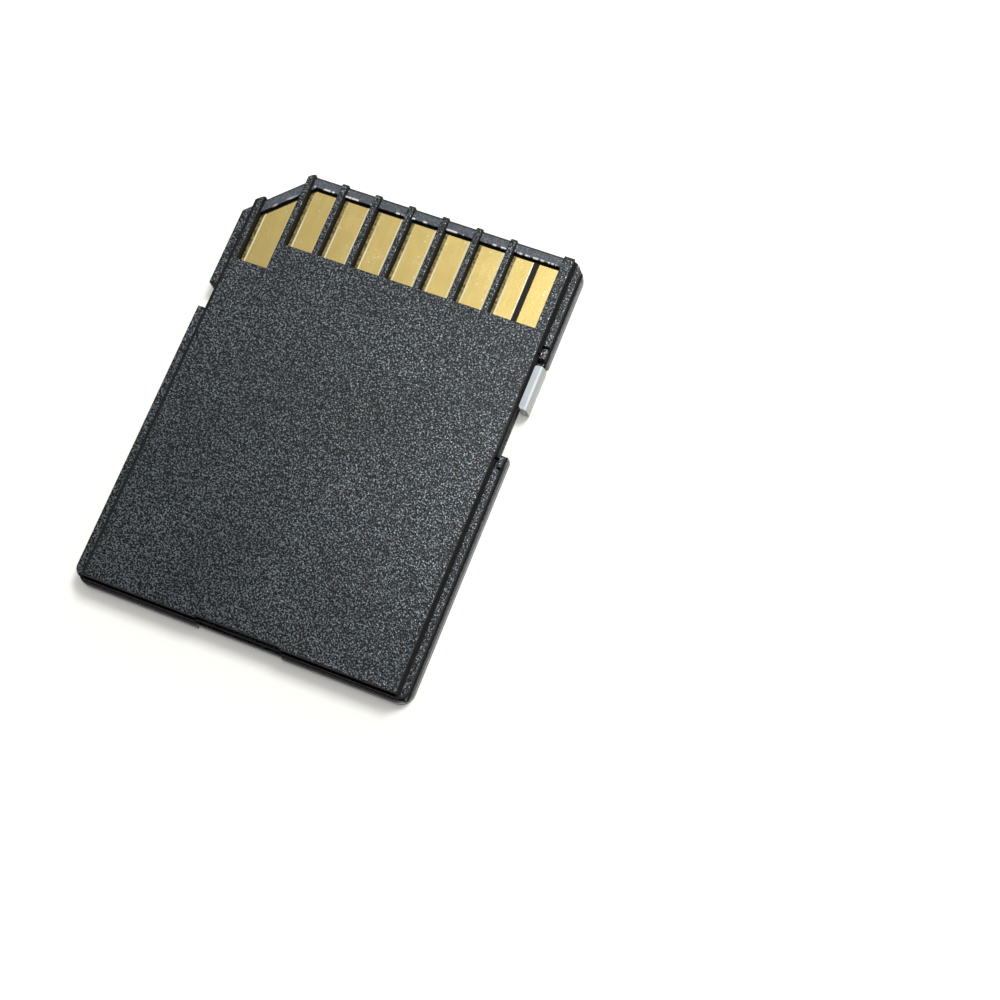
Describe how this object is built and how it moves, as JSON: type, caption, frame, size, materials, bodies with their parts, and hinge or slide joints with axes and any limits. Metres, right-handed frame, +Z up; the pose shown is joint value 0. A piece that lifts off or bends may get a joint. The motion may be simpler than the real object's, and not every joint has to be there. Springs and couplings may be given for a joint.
{
  "type": "full-size flash memory card",
  "caption": "Flat plastic memory card with a cut corner, gold edge contacts between raised ribs, side notches and a sliding write-protect tab.",
  "frame": {"origin": "middle of the card's outline, on the label face that it rests on", "axes": "+Z up through the thickness, from the label face to the contact side; +Y along the length to the leading edge with the contacts; +X across the width to the write-protect slider"},
  "size_m": [0.024, 0.032, 0.0021],
  "materials": {
    "shell": "fine spark-eroded grain, charcoal",
    "slider": "milky translucent white",
    "board": "black solder mask",
    "gold": "satin gold plating",
    "chip_body": "moulded chip package",
    "lead_metal": "tinned",
    "capacitor": "fired ceramic",
    "resistor": "glazed film on ceramic"
  },
  "bodies": {
    "card": {"contact_side_shell": "shell", "label_side_shell": "shell", "circuit_board": "board", "contact_pad_1": "gold", "contact_pad_2": "gold", "contact_pad_3": "gold", "contact_pad_4": "gold", "contact_pad_5": "gold", "contact_pad_6": "gold", "contact_pad_7": "gold", "contact_pad_8": "gold", "contact_pad_9": "gold", "memory_chip": "chip_body", "memory_chip_leads": "lead_metal", "controller_chip": "chip_body", "capacitor_1": "capacitor", "capacitor_2": "capacitor", "capacitor_3": "capacitor", "capacitor_4": "capacitor", "resistor_1": "resistor", "resistor_2": "resistor", "resistor_3": "resistor", "resistor_4": "resistor"},
    "slider": {"write_protect_slider": "slider"}
  },
  "joints": [
    {"name": "write_protect_slide", "type": "slide", "parent": "card", "child": "slider", "axis": [0, -1, 0], "range_m": [0, 0.0031]}
  ]
}
